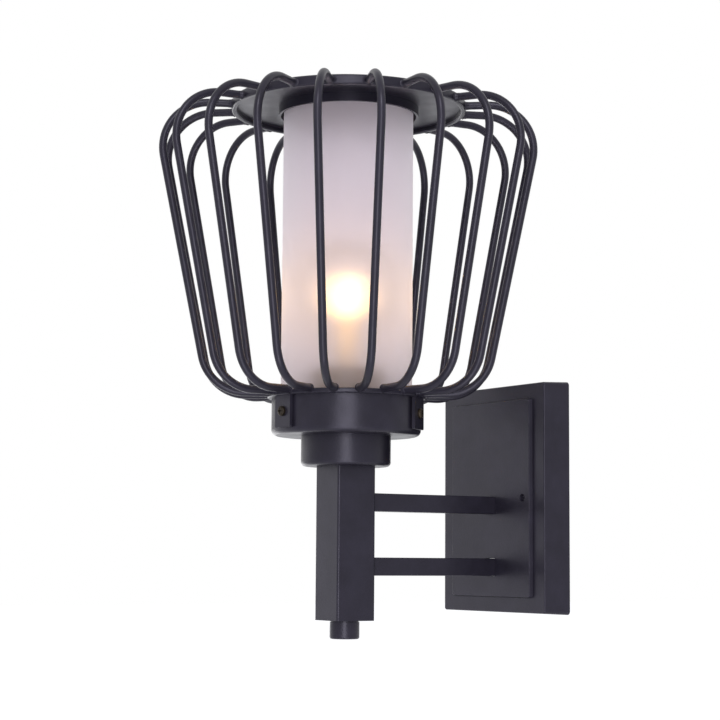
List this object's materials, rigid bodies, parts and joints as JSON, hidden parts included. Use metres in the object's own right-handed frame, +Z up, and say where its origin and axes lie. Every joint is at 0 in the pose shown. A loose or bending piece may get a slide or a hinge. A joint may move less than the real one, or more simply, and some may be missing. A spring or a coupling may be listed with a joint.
{
  "type": "outdoor wall light",
  "caption": "Wall light with a frosted glass tube inside a cage of bent round wires, on a square post held off a flat rectangular wall plate by two arms.",
  "frame": {"origin": "middle of the wall plate's back, on the wall's surface", "axes": "+Z up, +Y into the wall, the lamp stands out towards -Y"},
  "size_m": [0.2322, 0.2457, 0.3281],
  "materials": {
    "powder_black": "satin powder coat",
    "frosted_glass": "frosted",
    "clear_glass": "clear",
    "zinc_steel": "zinc plated",
    "bronze_screw": "dark bronze",
    "brass": "plain",
    "nickel_brass": "nickel plated",
    "holder_black": "moulded phenolic",
    "insulator_glass": "black vitrite",
    "block_plastic": "moulded",
    "seal_rubber": "matt",
    "lead_sleeve": "silicone sleeve",
    "earth_sleeve": "silicone sleeve",
    "tungsten": "drawn wire"
  },
  "bodies": {
    "fixture": {"backplate": "powder_black", "mounting_bar": "powder_black", "inner_plate": "zinc_steel", "upper_arm": "powder_black", "lower_arm": "powder_black", "terminal_block": "block_plastic", "terminal_screws": "brass", "block_screw": "zinc_steel", "earth_screw": "brass", "earth_lead": "earth_sleeve", "lamp_leads": "lead_sleeve", "post": "powder_black", "post_plugs": "zinc_steel", "threaded_pipe": "zinc_steel", "collar": "powder_black", "cup": "powder_black", "pipe_nut": "zinc_steel", "holder_bracket": "zinc_steel", "holder_screws": "zinc_steel", "holder_body": "holder_black", "holder_terminals": "brass", "holder_tongue": "brass", "screw_shell": "nickel_brass", "glass_seat": "seal_rubber", "glass_tube": "frosted_glass", "top_seal": "seal_rubber", "top_ring": "powder_black", "top_disc": "powder_black", "glass_sleeve": "powder_black", "bottom_ring": "powder_black", "cage_tabs": "powder_black", "tab_screws": "bronze_screw", "cage_wire_01": "powder_black", "cage_wire_02": "powder_black", "cage_wire_03": "powder_black", "cage_wire_04": "powder_black", "cage_wire_05": "powder_black", "cage_wire_06": "powder_black", "cage_wire_07": "powder_black", "cage_wire_08": "powder_black", "cage_wire_09": "powder_black", "cage_wire_10": "powder_black", "cage_wire_11": "powder_black", "cage_wire_12": "powder_black", "cage_wire_13": "powder_black", "cage_wire_14": "powder_black", "cage_wire_15": "powder_black", "cage_wire_16": "powder_black", "cage_wire_17": "powder_black", "cage_wire_18": "powder_black", "cage_wire_19": "powder_black", "cage_wire_20": "powder_black"},
    "lamp seat": {"lamp_contact": "brass"},
    "lamp": {"lamp_insulator": "insulator_glass", "lamp_cap": "nickel_brass", "lamp_envelope": "clear_glass", "lamp_stem": "clear_glass", "lamp_filament": "tungsten"},
    "knob seat": {"knob_washer": "powder_black"},
    "knob": {"knob": "powder_black"}
  },
  "joints": [
    {"name": "lamp lift", "type": "slide", "parent": "fixture", "child": "lamp seat", "axis": [0, 0, 1], "range_m": [0, 0.01089]},
    {"name": "lamp turn", "type": "hinge", "parent": "lamp seat", "child": "lamp", "pos_m": [0, -0.1296, 0.048], "axis": [0, 0, 1], "range_deg": [0, 1083]},
    {"name": "knob drop", "type": "slide", "parent": "fixture", "child": "knob seat", "axis": [0, 0, -1], "range_m": [0, 0.005]},
    {"name": "knob turn", "type": "hinge", "parent": "knob seat", "child": "knob", "pos_m": [0, -0.1296, -0.0762], "axis": [0, 0, -1], "range_deg": [0, 1804]}
  ],
  "couplings": [
    {"joint": "lamp turn", "follows": "lamp lift", "rad_per_m": 1731.4},
    {"joint": "knob turn", "follows": "knob drop", "rad_per_m": 6283.2}
  ]
}
